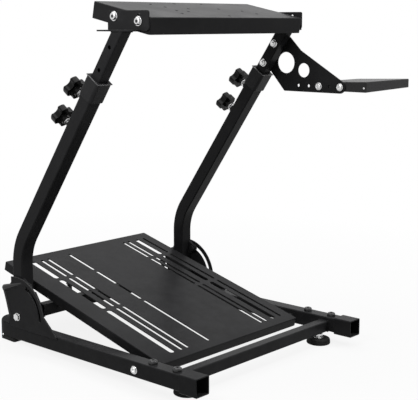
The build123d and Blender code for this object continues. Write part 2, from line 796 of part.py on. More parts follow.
rear_tube_top = rear_tube_z + rear_tube_section / 2
under_plate = Plane(origin=plate_front - plate_normal * plate_sheet, x_dir=(1, 0, 0), z_dir=plate_normal)
with BuildPart() as posts:
    for side in SIDES.values():
        with BuildSketch(Plane(origin=(side * support_x, rear_tube_y, rear_tube_top), z_dir=(0, 0, 1))):
            Rectangle(support_width, rear_tube_section)
            bore_width = support_width - 2 * support_wall
            Rectangle(bore_width, rear_tube_section - 2 * support_wall, mode=Mode.SUBTRACT)
        extrude(amount=plate_depth * sin(pitch))
    split(bisect_by=under_plate, keep=Keep.BOTTOM)
pieces["plate_posts"] = posts.part


def knob_mid(face):
    """The middle of a knob head that stands on the face plane."""
    return face.origin + face.z_dir * (knob_thickness / 2)


def star_knob(face):
    """A lobed knob head that leaves the face plane along its normal, with a hub and a pocket for its stud."""
    with BuildPart() as knob:
        with BuildSketch(face):
            Circle(knob_radius)
            with PolarLocations(bite_circle, knob_lobes, start_angle=knob_turn):
                Circle(bite_radius, mode=Mode.SUBTRACT)
        extrude(amount=knob_thickness)
        tips = knob.edges().filter_by(Axis(face.origin, face.z_dir))
        tip_reach = bite_circle - bite_radius
        outer_tips = tips.filter_by(lambda e: (e.center() - knob_mid(face)).length > tip_reach)
        fillet(outer_tips, knob_tip)
        crown = knob.faces().sort_by(Axis(face.origin, face.z_dir))[-1]
        fillet(crown.edges(), knob_edge)
        with BuildSketch(face):
            Circle(hub_radius)
        extrude(amount=-hub_length)
        with BuildSketch(face.offset(-hub_length)):
            Circle(stud_radius + running_gap)
        extrude(amount=hub_length + stud_pocket, mode=Mode.SUBTRACT)
    return knob.part


def knob_stud(face):
    """The screw of a knob, with the washer that shows between the knob's hub and its nut."""
    grip = knob_standoff + upright_wall + inner_gap - stud_tip_gap
    with BuildPart() as stud:
        with BuildSketch(face.offset(stud_pocket)):
            Circle(stud_radius)
        extrude(amount=-stud_pocket - grip)
        with BuildSketch(face.offset(-hub_length)):
            Circle(washer_radius)
        extrude(amount=-washer_thickness)
    return stud.part


for name, side in SIDES.items():
    for level, drop in zip(("upper", "lower"), knob_drops):
        on_axis = lean_point(side * side_x, lean_length - drop)
        knob_face = on_axis + rear_normal * (upright_section / 2 + knob_standoff)
        face = Plane(origin=knob_face, x_dir=(1, 0, 0), z_dir=rear_normal)
        pieces[f"knob_{level}_{name}"] = star_knob(face)
        pieces[f"knob_stud_{level}_{name}"] = knob_stud(face)

# Tip everything so that the feet stand level, then bring the middle of the footprint to the origin
to_floor = Location((0, 0, 0), (-floor_tilt, 0, 0))
boxes = [piece.moved(to_floor).bounding_box() for piece in pieces.values()]
middle_x = (min(box.min.X for box in boxes) + max(box.max.X for box in boxes)) / 2
middle_y = (min(box.min.Y for box in boxes) + max(box.max.Y for box in boxes)) / 2
lowest_z = min(box.min.Z for box in boxes)
to_origin = Location((-middle_x, -middle_y, -lowest_z)) * to_floor
for name, piece in pieces.items():
    placed = piece.moved(to_origin)
    placed.label = name
    export_step(placed, f"parts/{name}.step")
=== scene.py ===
import json
import math

import bmesh
import bpy
from mathutils import Euler, Matrix, Vector


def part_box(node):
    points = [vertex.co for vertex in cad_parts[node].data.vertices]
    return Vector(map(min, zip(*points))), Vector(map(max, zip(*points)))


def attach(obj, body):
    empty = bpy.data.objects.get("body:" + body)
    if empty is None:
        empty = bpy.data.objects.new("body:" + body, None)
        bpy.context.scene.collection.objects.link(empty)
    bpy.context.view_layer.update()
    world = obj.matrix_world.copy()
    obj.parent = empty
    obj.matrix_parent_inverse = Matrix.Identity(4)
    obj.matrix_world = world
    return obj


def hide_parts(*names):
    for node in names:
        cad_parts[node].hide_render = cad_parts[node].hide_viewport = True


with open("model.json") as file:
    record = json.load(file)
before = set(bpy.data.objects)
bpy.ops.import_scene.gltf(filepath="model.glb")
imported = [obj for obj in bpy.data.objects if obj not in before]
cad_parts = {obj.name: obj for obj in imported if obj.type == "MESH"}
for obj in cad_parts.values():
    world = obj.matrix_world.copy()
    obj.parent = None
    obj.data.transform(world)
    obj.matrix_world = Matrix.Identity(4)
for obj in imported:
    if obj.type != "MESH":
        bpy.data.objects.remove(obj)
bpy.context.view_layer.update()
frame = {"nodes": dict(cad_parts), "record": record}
nodes = frame["nodes"]
record = frame["record"]
body_of = {node: body for body, members in record["behaviour"]["bodies"].items() for node in members}
slot_of = {entry["node"]: entry["material_slot"] for entry in record["subparts"]}
joints = {joint["name"]: joint for joint in record["behaviour"]["joints"]}
mounts = {mount["name"]: mount for mount in record["mounts"]}
collection = bpy.context.scene.collection

MM = 0.001
SIDES = {"left": -1, "right": 1}
LEVELS = ("upper", "lower")
HEX_SIDES = 6

# The stand's own axes: X from its middle plane, Y along the rails from their mouths, Z square to the rails
across = Vector((1.0, 0.0, 0.0))
along_rail = -Vector(mounts["seat_socket_left"]["axis"]).normalized()
off_rail = across.cross(along_rail)
slope_up = Vector(joints["height"]["axis"]).normalized()
slope_back = Vector(joints["clamp_upper_left_turn"]["axis"]).normalized()
fold_spot = Vector(joints["fold"]["pos_m"])
fold_y, fold_z = 532.0, 75.5

# Places on the stand where bolts and rivets go, in millimetres; a spot is Y and Z
side_x = 255.0
rail_half, rail_top = 16.5, 54.0
tube_half = 13.2
fork_face_x = 274.5
rail_bolt_ys = (65.0, 130.7)
plate_bolt_spot, plate_flange_x = (167.39, 36.61), 221.2
cap_rivet_spot = (590.0, 24.0)
arm_inner_x, arm_outer_x = 268.2, 271.2
arm_bolt_spots = ((259.31, 622.70), (228.57, 667.10))
tray_sheet, tray_row_z, tray_rivet_inset = 2.0, 573.0, 5.0
tray_bolt_spots = ((64.0, tray_row_z), (121.0, tray_row_z))
deck_bolt_head = 6.0
boss_height, knob_standoff, knob_thickness, hub_reach = 8.0, 26.0, 17.0, 13.0
clamp_screw_radius, clamp_screw_turns = 4.0, 4.0

# Corners of the fan brackets that move, from one spot to another, between two planes across the stand
cheek_planes, plate_planes = (230.0, 241.0), (270.0, 277.0)
cheek_moves = (((482.0, 105.5), (494.0, 100.5)), ((504.0, 127.5), (512.5, 127.5)))
plate_moves = (((556.0, 71.5), (560.0, 51.0)), ((551.0, 144.0), (551.0, 152.0)))
corner_catch = 0.5

# How far the front of the shifter tray is tipped up, in millimetres
tray_top_rise, tray_foot_rise = 5.0, 4.0

# Rounded edges: widths in millimetres, angles in degrees
edge_width = 0.5
edge_widths = {"knob_plastic": 0.25, "black_plastic": 0.9}
flat_degrees, corner_degrees = 0.4, 40.0
fastener_crease, node_crease = 32.0, 50.0

# Welds, in millimetres: middle and half width of the square runs, ends of the straight ones
tube_welds = (((238.2, 74.0, 33.5), 12.4), ((235.2, 499.0, 90.0), 12.9))
socket_weld_spot, socket_weld_half = (44.2, 37.5), 16.4
bracket_weld_z, outer_weld_ys, inner_weld_ys = 49.6, (402.0, 530.0), (484.0, 530.0)
saddle_weld_spot, saddle_weld_halves = (207.5, 697.0), (13.0, 15.9)
boss_weld_radius = 8.6
weld_step, weld_bead, fine_weld_bead = 2.2, 1.6, 1.2

# Rolled beads, in millimetres and degrees: the fan's arc, its rear bend, its ridge, the collars' rims
fan_radius, fan_bead, fan_inset = 90.0, 0.9, 0.5
fan_start, fan_sweep, fan_steps = 78.0, 92.0, 40
fan_toe_reach = 131.0
fan_toe_spot = (fold_y - fan_toe_reach, rail_top + fan_inset)
bend_foot_spot, bend_head_spot = (558.4, 76.5), (574.6, 129.0)
bend_radius, bend_sink = 3.4, 1.2
ridge_spot, ridge_run = (574.6, 135.5), (-60.0, 19.0)
ridge_foot_radius, ridge_tip_radius, ridge_sink = 6.8, 1.8, 1.5
rim_radius, rim_rise, collar_half, rim_catch = 1.3, 0.5, 19.5, 0.1


def facing(x, y, z):
    """A direction of the stand, turned into the shared frame."""
    return x * across + y * along_rail + z * off_rail


def stand(x, y, z):
    """A point of the stand in millimetres, turned into the shared frame."""
    return fold_spot + MM * facing(x, y - fold_y, z - fold_z)


def measured(point):
    """A point of the shared frame as X, Y and Z of the stand, in millimetres."""
    here = (point - fold_spot) / MM
    return here.dot(across), fold_y + here.dot(along_rail), fold_z + here.dot(off_rail)


def corners_of(name):
    """The corner points of a CAD node in the shared frame."""
    return [nodes[name].matrix_world @ vertex.co for vertex in nodes[name].data.vertices]


def pair(stem):
    """The names of a node's left and right copies."""
    return [f"{stem}_{side}" for side in SIDES]


# Shader helpers
def shader_group(name, inputs, outputs):
    """An empty shader group with named float inputs and outputs."""
    group = bpy.data.node_groups.new(name, "ShaderNodeTree")
    for label, default in inputs:
        socket = group.interface.new_socket(label, in_out="INPUT", socket_type="NodeSocketFloat")
        socket.default_value = default
    for label in outputs:
        group.interface.new_socket(label, in_out="OUTPUT", socket_type="NodeSocketFloat")
    return group, group.nodes.new("NodeGroupInput"), group.nodes.new("NodeGroupOutput")


def feed(tree, socket, value):
    """Links a socket to a socket, or sets it to a number or colour."""
    if isinstance(value, bpy.types.NodeSocket):
        tree.links.new(value, socket)
    else:
        socket.default_value = value


def noise(tree, vector, scale, detail, roughness):
    """A noise texture on the given coordinates."""
    texture = tree.nodes.new("ShaderNodeTexNoise")
    texture.inputs["Detail"].default_value = detail
    texture.inputs["Roughness"].default_value = roughness
    feed(tree, texture.inputs["Scale"], scale)
    tree.links.new(vector, texture.inputs["Vector"])
    return texture.outputs["Fac"]


def remap(tree, value, low, high, start=0.0, end=1.0):
    """A value moved from one range to another and held there."""
    node = tree.nodes.new("ShaderNodeMapRange")
    for label, number in (("From Min", low), ("From Max", high), ("To Min", start), ("To Max", end)):
        node.inputs[label].default_value = number
    tree.links.new(value, node.inputs["Value"])
    return node.outputs["Result"]


def maths(tree, operation, first, second):
    """One maths node on two sockets or numbers."""
    node = tree.nodes.new("ShaderNodeMath")
    node.operation = operation
    feed(tree, node.inputs[0], first)
    feed(tree, node.inputs[1], second)
    return node.outputs["Value"]


def object_place(tree):
    """Object coordinates, in metres from the shared frame's origin."""
    return tree.nodes.new("ShaderNodeTexCoord").outputs["Object"]


def mix_colour(tree, mask, first, second):
    """A colour mixed by a mask; each colour is a socket or three numbers."""
    node = tree.nodes.new("ShaderNodeMix")
    node.data_type = "RGBA"
    tree.links.new(mask, node.inputs["Factor"])
    for label, colour in (("A", first), ("B", second)):
        socket = next(s for s in node.inputs if s.name == label and s.type == "RGBA")
        feed(tree, socket, (*colour, 1.0) if isinstance(colour, tuple) else colour)
    return next(s for s in node.outputs if s.type == "RGBA")


def use_group(tree, group, values):
    """A shader group placed in a material, with its inputs set by name."""
    node = tree.nodes.new("ShaderNodeGroup")
    node.node_tree = group
    for label, value in values.items():
        node.inputs[label].default_value = value
    return node.outputs


# Shader groups that the finishes share
def coat_grain_group():
    """Fine skin of a sprayed or moulded surface: a height for the bump, a slow mottle for the rest."""
    group, entry, leave = shader_group(
        "Coat grain", (("Grain per metre", 900.0), ("Mottle per metre", 14.0)), ("Height", "Mottle")
    )
    peel_share, pebble_share = 0.6, 0.4
    place = object_place(group)
    peel = noise(group, place, entry.outputs["Grain per metre"], detail=3.0, roughness=0.55)
    fleck = group.nodes.new("ShaderNodeTexVoronoi")
    group.links.new(place, fleck.inputs["Vector"])
    group.links.new(entry.outputs["Grain per metre"], fleck.inputs["Scale"])
    pebble = remap(group, fleck.outputs["Distance"], low=0.0, high=0.8, start=1.0, end=0.0)
    fine = maths(group, "MULTIPLY", peel, peel_share)
    coarse = maths(group, "MULTIPLY", pebble, pebble_share)
    group.links.new(maths(group, "ADD", fine, coarse), leave.inputs["Height"])
    slow = noise(group, place, entry.outputs["Mottle per metre"], detail=4.0, roughness=0.6)
    group.links.new(remap(group, slow, low=0.3, high=0.7), leave.inputs["Mottle"])
    return group


def dust_group():
    """A thin patchy film that gathers on faces that look up, as a mask."""
    group, entry, leave = shader_group(
        "Settled dust", (("Amount", 0.3), ("Patches per metre", 20.0)), ("Mask",)
    )
    split = group.nodes.new("ShaderNodeSeparateXYZ")
    group.links.new(group.nodes.new("ShaderNodeNewGeometry").outputs["Normal"], split.inputs["Vector"])
    upward = remap(group, split.outputs["Z"], low=0.55, high=1.0)
    patch = noise(group, object_place(group), entry.outputs["Patches per metre"], detail=5.0, roughness=0.65)
    mask = maths(group, "MULTIPLY", upward, remap(group, patch, low=0.35, high=0.75))
    group.links.new(maths(group, "MULTIPLY", mask, entry.outputs["Amount"]), leave.inputs["Mask"])
    return group


def hairline_group():
    """Fine lines left by brushing, wiping and handling, as a mask."""
    group, entry, leave = shader_group("Hairlines", (("Lines per metre", 260.0),), ("Mask",))
    stretch = group.nodes.new("ShaderNodeMapping")
    stretch.inputs["Scale"].default_value = (1.0, 0.06, 0.35)
    stretch.inputs["Rotation"].default_value = (0.3, 0.2, 0.5)
    group.links.new(object_place(group), stretch.inputs["Vector"])
    per_metre = entry.outputs["Lines per metre"]
    lines = noise(group, stretch.outputs["Vector"], per_metre, detail=3.0, roughness=0.7)
    group.links.new(remap(group, lines, low=0.56, high=0.74), leave.inputs["Mask"])
    return group


def edge_rub_and_sheen_group():
    """Rubbed outer edges, broken up by noise, as a mask; the lighter edges it gives are partly wear and
    partly a painted highlight.
    """
    group, entry, leave = shader_group("Edge rub", (("Amount", 0.5),), ("Mask",))
    patches_per_metre = 45.0
    sharpness = group.nodes.new("ShaderNodeNewGeometry").outputs["Pointiness"]
    edge = remap(group, sharpness, low=0.515, high=0.60)
    patch = noise(group, object_place(group), patches_per_metre, detail=4.0, roughness=0.6)
    mask = maths(group, "MULTIPLY", edge, remap(group, patch, low=0.40, high=0.62))
    group.links.new(maths(group, "MULTIPLY", mask, entry.outputs["Amount"]), leave.inputs["Mask"])
    return group


coat_grain = coat_grain_group()
settled_dust = dust_group()
hairlines = hairline_group()
edge_rub_and_sheen = edge_rub_and_sheen_group()

# Finishes: colours, gloss as a range of roughness, grain and mottle per metre, depth of the grain in metres
# Rubbed edges are lifted to a lighter grey, partly as wear and partly as a painted edge highlight
rubbed_and_sheen_grey, dust_grey = (0.10, 0.10, 0.105), (0.30, 0.30, 0.31)
dust_dulling, grain_strength = 0.5, 0.35


def make_finish(
    name, dark, light, gloss, grain, depth, mottle, metallic=0.0, specular=0.5, dust=0.0, lines=0.0, rub_and_sheen=0.0
):
    """A procedural finish: drifting colour and gloss, fine bump, dust on top, hairlines, rubbed edges that
    also carry a painted highlight.
    """
    material = bpy.data.materials.new(name)
    material.use_nodes = True
    tree = material.node_tree
    shader = tree.nodes["Principled BSDF"]
    skin = use_group(tree, coat_grain, {"Grain per metre": grain, "Mottle per metre": mottle})
    colour = mix_colour(tree, skin["Mottle"], dark, light)
    rough = remap(tree, skin["Mottle"], 0.0, 1.0, *gloss)
    if lines:
        worn = use_group(tree, hairlines, {})["Mask"]
        rough = maths(tree, "ADD", rough, maths(tree, "MULTIPLY", worn, lines))
    # Lighter outer edges: partly rubbed wear, partly a painted highlight along the bevels
    if rub_and_sheen:
        edge = use_group(tree, edge_rub_and_sheen, {"Amount": rub_and_sheen})["Mask"]
        colour = mix_colour(tree, edge, colour, rubbed_and_sheen_grey)
    if dust:
        film = use_group(tree, settled_dust, {"Amount": dust})["Mask"]
        colour = mix_colour(tree, film, colour, dust_grey)
        rough = maths(tree, "ADD", rough, maths(tree, "MULTIPLY", film, dust_dulling))
    bump = tree.nodes.new("ShaderNodeBump")
    bump.inputs["Strength"].default_value = grain_strength
    bump.inputs["Distance"].default_value = depth
    tree.links.new(skin["Height"], bump.inputs["Height"])
    tree.links.new(bump.outputs["Normal"], shader.inputs["Normal"])
    tree.links.new(colour, shader.inputs["Base Color"])
    tree.links.new(rough, shader.inputs["Roughness"])
    shader.inputs["Metallic"].default_value = metallic
    shader.inputs["Specular IOR Level"].default_value = specular
    return material


finishes = {
    "black_coat": make_finish(
        "Black powder coat", dark=(0.019, 0.019, 0.020), light=(0.028, 0.028, 0.029), gloss=(0.28, 0.38),
        grain=1100.0, depth=6e-5, mottle=9.0, specular=0.045, dust=0.02, lines=0.05, rub_and_sheen=0.22,
    ),
    # The tray's coat is the black coat painted lighter, as painted light for the front light the tray
    # catches
    "tray_painted_light_coat": make_finish(
        "Grey black powder coat", dark=(0.046, 0.046, 0.047), light=(0.060, 0.060, 0.061),
        gloss=(0.30, 0.40), grain=1100.0, depth=6e-5, mottle=9.0, specular=0.07,
        dust=0.03, lines=0.05, rub_and_sheen=0.22,
    ),
    "gloss_coat": make_finish(
        "Black powder coat on bends", dark=(0.022, 0.022, 0.023), light=(0.032, 0.032, 0.033),
        gloss=(0.14, 0.20), grain=1100.0, depth=4e-5, mottle=9.0, specular=0.26, lines=0.05,
    ),
    "zinc_steel": make_finish(
        "Zinc plated steel", dark=(0.60, 0.60, 0.61), light=(0.76, 0.76, 0.75), gloss=(0.18, 0.32),
        grain=700.0, depth=3e-5, mottle=160.0, metallic=1.0, lines=0.12,
    ),
    "knob_plastic": make_finish(
        "Glossy knob plastic", dark=(0.005, 0.005, 0.005), light=(0.009, 0.009, 0.009), gloss=(0.14, 0.22),
        grain=600.0, depth=2e-5, mottle=40.0, specular=0.10, lines=0.10,
    ),
    "black_plastic": make_finish(
        "Matt moulded plastic", dark=(0.015, 0.015, 0.016), light=(0.022, 0.022, 0.023), gloss=(0.36, 0.48),
        grain=1600.0, depth=8e-5, mottle=30.0, specular=0.12, dust=0.02, rub_and_sheen=0.15,
    ),
    # Lighter grey for the collars' rims, a painted highlight along their top edge
    "rim_highlight_plastic": make_finish(
        "Satin moulded plastic", dark=(0.090, 0.090, 0.092), light=(0.120, 0.120, 0.122), gloss=(0.22, 0.30),
        grain=1600.0, depth=4e-5, mottle=30.0, dust=0.02, rub_and_sheen=0.15,
    ),
    "rubber": make_finish(
        "Black rubber", dark=(0.012, 0.012, 0.012), light=(0.020, 0.020, 0.020), gloss=(0.68, 0.85),
        grain=1300.0, depth=1e-4, mottle=60.0, specular=0.2, dust=0.06,
    ),
    "black_bolt": make_finish(
        "Blackened bolt steel", dark=(0.012, 0.012, 0.013), light=(0.026, 0.026, 0.027), gloss=(0.22, 0.38),
        grain=900.0, depth=3e-5, mottle=220.0,
    ),
}


# Pieces and mesh helpers
def add_piece(name, mesh, finish, body, stands_for=()):
    """A finished object that rides on a body, takes a material slot and may stand for CAD nodes."""
    piece = bpy.data.objects.new(name, mesh)
    collection.objects.link(piece)
    mesh.materials.clear()
    mesh.materials.append(finishes[finish])
    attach(piece, body)
    if stands_for:
        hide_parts(*stands_for)
    return piece


def smooth_by_angle(mesh, degrees):
    """Smooth shading with sharp edges above an angle."""
    mesh.polygons.foreach_set("use_smooth", [True] * len(mesh.polygons))
    mesh.set_sharp_from_angle(angle=math.radians(degrees))


def to_mesh(bm, name):
    """A mesh out of a bmesh, merged, with outward faces and angle-based shading."""
    bmesh.ops.remove_doubles(bm, verts=bm.verts, dist=1e-4 * MM)
    bmesh.ops.recalc_face_normals(bm, faces=bm.faces)
    mesh = bpy.data.meshes.new(name)
    bm.to_mesh(mesh)
    bm.free()
    smooth_by_angle(mesh, fastener_crease)
    return mesh


def ring(bm, radius, height, count):
    """A ring of points about Z, sizes in millimetres."""
    points = []
    for k in range(count):
        angle = 2 * math.pi * k / count
        spot = (radius * MM * math.cos(angle), radius * MM * math.sin(angle), height * MM)
        points.append(bm.verts.new(spot))
    return points


def bridge(bm, lower, upper):
    """Faces between two rings, either of which may be a single point."""
    count = max(len(lower), len(upper))
    for k in range(count):
        corners = [
            lower[k % len(lower)], lower[(k + 1) % count % len(lower)],
            upper[(k + 1) % count % len(upper)], upper[k % len(upper)],
        ]
        unique = list(dict.fromkeys(corners))
        if len(unique) > 2:
            bm.faces.new(unique)


def lathe(bm, profile, sides):
    """A turned shape about Z from (radius, height) pairs in millimetres, a radius of 0 being a pole."""
    rings = [ring(bm, r, h, sides) if r > 0 else [bm.verts.new((0, 0, h * MM))] for r, h in profile]
    for lower, upper in zip(rings, rings[1:]):
        bridge(bm, lower, upper)
    return rings


def hexagon(bm, radius, low, high, chamfer):
    """A six-sided head or nut with chamfered ends, corner radius and heights in millimetres."""
    chamfer_slope = 0.6
    drop = chamfer * chamfer_slope
    inner = radius - chamfer
    outline = [(inner, low), (radius, low + drop), (radius, high - drop), (inner, high)]
    rings = lathe(bm, outline, HEX_SIDES)
    bm.faces.new(list(reversed(rings[0])))
    bm.faces.new(rings[-1])


def washer(bm, radius, low, high):
    """A flat washer with rounded rims."""
    sides, rim_share = 44, 0.3
    rim = (high - low) * rim_share
    inner = radius - rim
    outline = [(0, low), (inner, low), (radius, low + rim), (radius, high - rim), (inner, high), (0, high)]
    lathe(bm, outline, sides)


def socket_head(bm, radius, low, high, dome, key, depth):
    """A domed head with a six-sided key socket in its top."""
    sides, dome_steps = 36, 6
    under_rim, rim_height = 0.3, 0.4
    land_width, lead_in_share = 1.2, 1.12
    land = key + land_width
    lead_in_drop, mouth_drop = 0.2, 0.3
    outline = [(0, low), (radius - under_rim, low), (radius, low + rim_height), (radius, high - dome)]
    for k in range(1, dome_steps):
        t = k / dome_steps
        outline.append((radius - (radius - land) * t * t, high - dome + dome * math.sin(t * math.pi / 2)))
    outline += [(land, high), (key * lead_in_share, high - lead_in_drop)]
    top = lathe(bm, outline, sides)[-1]
    mouth = ring(bm, key, high - mouth_drop, HEX_SIDES)
    floor_ring = ring(bm, key, high - depth, HEX_SIDES)
    step = sides // HEX_SIDES
    for k in range(HEX_SIDES):
        corner, next_corner = mouth[k], mouth[(k + 1) % HEX_SIDES]
        arc = [top[(k * step + j) % sides] for j in range(step + 1)]
        for j in range(step):
            nearest = corner if j < step / 2 else next_corner
            bm.faces.new((arc[j], arc[j + 1], nearest))
        bm.faces.new((arc[step // 2], next_corner, corner))
    bridge(bm, mouth, floor_ring)
    bm.faces.new(floor_ring)


def half_bead(bm, foot, tip, out, foot_radius, tip_radius):
    """Half a tapered bead on a face, round at its foot, bulging outwards, radii in millimetres."""
    sides, spans, foot_degrees = 14, 8, (80, 60, 40, 20)
    axis = (tip - foot).normalized()
    beside = axis.cross(out)
    levels = []
    for degrees in foot_degrees:
        t = math.radians(degrees)
        levels.append((foot - axis * foot_radius * MM * math.sin(t), foot_radius * math.cos(t)))
    for k in range(spans + 1):
        levels.append((foot.lerp(tip, k / spans), foot_radius + (tip_radius - foot_radius) * k / spans))
    turns = [math.pi * (k / sides - 0.5) for k in range(sides + 1)]
    ways = [math.cos(t) * out + math.sin(t) * beside for t in turns]
    rings = [[bm.verts.new(centre + size * MM * way) for way in ways] for centre, size in levels]
    for lower, upper in zip(rings, rings[1:]):
        bridge(bm, lower, upper)
    bm.faces.new(rings[0])
    bm.faces.new(rings[-1])


# Copies of CAD nodes
def merged_copy(name):
    """A bmesh copy of a CAD node with its loose triangles joined."""
    bm = bmesh.new()
    bm.from_mesh(nodes[name].data)
    bmesh.ops.remove_doubles(bm, verts=bm.verts, dist=1e-3 * MM)
    return bm


def draw_back(bm, moves, planes):
    """Moves corners of a copy between two planes across the stand, each from and to in Y and Z."""
    near, far = planes
    for vert in bm.verts:
        x, y, z = measured(vert.co)
        if not near < abs(x) < far:
            continue
        for (old_y, old_z), (new_y, new_z) in moves:
            if math.hypot(y - old_y, z - old_z) < corner_catch:
                vert.co += MM * facing(0, new_y - y, new_z - z)


def tip_up(bm, top_rise, foot_rise):
    """Tips a copy up at its front: its upper half evenly, its lower half more towards +X."""
    spots = [measured(vert.co) for vert in bm.verts]
    low = [min(values) for values in zip(*spots)]
    high = [max(values) for values in zip(*spots)]
    for vert, spot in zip(bm.verts, spots):
        x, y, z = ((here - start) / (end - start) for here, start, end in zip(spot, low, high))
        vert.co += off_rail * MM * (1.0 - y) * (top_rise if z > 0.5 else foot_rise * x)


def soften(name, width, bm, finish):
    """Rounds the edges of a CAD node's copy, which then stands for the node."""
    flat, corner = math.radians(flat_degrees), math.radians(corner_degrees)
    bmesh.ops.dissolve_limit(bm, angle_limit=flat, verts=bm.verts, edges=bm.edges)
    sharp = [edge for edge in bm.edges if len(edge.link_faces) == 2 and edge.calc_face_angle() > corner]
    bmesh.ops.bevel(
        bm, geom=sharp, offset=width * MM, segments=2, profile=0.6, affect="EDGES", clamp_overlap=False
    )
    mesh = bpy.data.meshes.new(name + "_rounded")
    bm.to_mesh(mesh)
    bm.free()
    smooth_by_angle(mesh, node_crease)
    piece = add_piece(mesh.name, mesh, finish, body_of[name], (name,))
    piece.modifiers.new("Even faces", "WEIGHTED_NORMAL").keep_sharp = True


def dress_node(name):
    """Gives a CAD node its finish: a plated one as it is, any other by a copy with rounded edges."""
    slot = slot_of[name]
    if slot == "zinc_steel":
        nodes[name].data.materials.clear()
        nodes[name].data.materials.append(finishes[slot])
        return
    finish = slot
    shape = merged_copy(name)
    if name.startswith("fan_bracket"):
        draw_back(shape, cheek_moves, cheek_planes)
        draw_back(shape, plate_moves, plate_planes)
    if name == "shifter_tray":
        tip_up(shape, tray_top_rise, tray_foot_rise)
        # The tray takes the lighter coat, which paints in the light that falls on its front
        finish = "tray_painted_light_coat"
    soften(name, edge_widths.get(slot, edge_width), shape, finish)


# Geometry Nodes trees
def geometry_tree(name, numbers, objects=()):
    """An empty Geometry Nodes tree with a geometry, named numbers, objects and a finish as inputs."""
    tree = bpy.data.node_groups.new(name, "GeometryNodeTree")
    face = tree.interface
    face.new_socket("Geometry", in_out="INPUT", socket_type="NodeSocketGeometry")
    for label, default in numbers:
        face.new_socket(label, in_out="INPUT", socket_type="NodeSocketFloat").default_value = default
    for label in objects:
        face.new_socket(label, in_out="INPUT", socket_type="NodeSocketObject")
    face.new_socket("Finish", in_out="INPUT", socket_type="NodeSocketMaterial")
    face.new_socket("Geometry", in_out="OUTPUT", socket_type="NodeSocketGeometry")
    return tree, tree.nodes.new("NodeGroupInput"), tree.nodes.new("NodeGroupOutput")


def end_tree(tree, entry, leave, instances):
    """Ends a tree: instances become one plain mesh with a finish."""
    solid = tree.nodes.new("GeometryNodeRealizeInstances")
    paint = tree.nodes.new("GeometryNodeSetMaterial")
    tree.links.new(instances, solid.inputs["Geometry"])
    tree.links.new(solid.outputs["Geometry"], paint.inputs["Geometry"])
    tree.links.new(entry.outputs["Finish"], paint.inputs["Material"])
    tree.links.new(paint.outputs["Geometry"], leave.inputs["Geometry"])


def turned_instances(tree, points, instance, along, axis):
    """Instances on points, with one of their axes turned along a vector."""
    turn = tree.nodes.new("FunctionNodeAlignRotationToVector")
    turn.axis = axis
    put = tree.nodes.new("GeometryNodeInstanceOnPoints")
    tree.links.new(along, turn.inputs["Vector"])
    tree.links.new(turn.outputs["Rotation"], put.inputs["Rotation"])
    tree.links.new(points, put.inputs["Points"])
    tree.links.new(instance, put.inputs["Instance"])
    return put


def seat_axis(tree):
    """The axis stored on each seat point."""
    axis = tree.nodes.new("GeometryNodeInputNamedAttribute")
    axis.data_type = "FLOAT_VECTOR"
    axis.inputs["Name"].default_value = "axis"
    return axis.outputs["Attribute"]


def seat_points(tree, entry):
    """The seats of the incoming mesh as points."""
    dots = tree.nodes.new("GeometryNodeMeshToPoints")
    tree.links.new(entry.outputs["Geometry"], dots.inputs["Mesh"])
    return dots.outputs["Points"]


def fastener_tree():
    """Sets one fastener on each seat, with its Z along the seat's axis."""
    tree, entry, leave = geometry_tree("Fasteners on seats", (("Size", 1.0),), ("Fastener",))
    shape = tree.nodes.new("GeometryNodeObjectInfo")
    tree.links.new(entry.outputs["Fastener"], shape.inputs["Object"])
    put = turned_instances(tree, seat_points(tree, entry), shape.outputs["Geometry"], seat_axis(tree), "Z")
    tree.links.new(entry.outputs["Size"], put.inputs["Scale"])
    end_tree(tree, entry, leave, put.outputs["Instances"])
    return tree


def thread_tree():
    """Winds a screw thread on each seat, along the seat's axis."""
    tree, entry, leave = geometry_tree(
        "Screw thread", (("Radius", 0.004), ("Length", 0.016), ("Turns", 12.0), ("Ridge", 0.0005))
    )
    spiral = tree.nodes.new("GeometryNodeCurveSpiral")
    spiral.inputs["Resolution"].default_value = 28
    ridge = tree.nodes.new("GeometryNodeCurvePrimitiveCircle")
    ridge.inputs["Resolution"].default_value = 4
    solid = tree.nodes.new("GeometryNodeCurveToMesh")
    sources = {"Start Radius": "Radius", "End Radius": "Radius", "Height": "Length", "Rotations": "Turns"}
    for target, source in sources.items():
        tree.links.new(entry.outputs[source], spiral.inputs[target])
    tree.links.new(entry.outputs["Ridge"], ridge.inputs["Radius"])
    tree.links.new(spiral.outputs["Curve"], solid.inputs["Curve"])
    tree.links.new(ridge.outputs["Curve"], solid.inputs["Profile Curve"])
    put = turned_instances(tree, seat_points(tree, entry), solid.outputs["Mesh"], seat_axis(tree), "Z")
    end_tree(tree, entry, leave, put.outputs["Instances"])
    return tree


def weld_tree():
    """Lays overlapping beads along curves, turned to the run, their sizes varied with a fixed seed."""
    tree, entry, leave = geometry_tree("Weld run", (("Step", 0.0022), ("Bead", 0.0017)))
    even = tree.nodes.new("GeometryNodeResampleCurve")
    even.mode = "LENGTH"
    bead = tree.nodes.new("GeometryNodeMeshIcoSphere")
    bead.inputs["Subdivisions"].default_value = 2
    soft = tree.nodes.new("GeometryNodeSetShadeSmooth")
    vary = tree.nodes.new("FunctionNodeRandomValue")
    vary.data_type = "FLOAT_VECTOR"
    vary.inputs["Min"].default_value = (0.70, 0.88, 0.88)
    vary.inputs["Max"].default_value = (0.85, 1.08, 1.08)
    vary.inputs["Seed"].default_value = 7
    tangent = tree.nodes.new("GeometryNodeInputTangent").outputs["Tangent"]
    tree.links.new(entry.outputs["Geometry"], even.inputs["Curve"])
    tree.links.new(entry.outputs["Step"], even.inputs["Length"])
    tree.links.new(entry.outputs["Bead"], bead.inputs["Radius"])
    tree.links.new(bead.outputs["Mesh"], soft.inputs["Geometry"])
    put = turned_instances(tree, even.outputs["Curve"], soft.outputs["Geometry"], tangent, "X")
    tree.links.new(vary.outputs[0], put.inputs["Scale"])
    end_tree(tree, entry, leave, put.outputs["Instances"])
    return tree


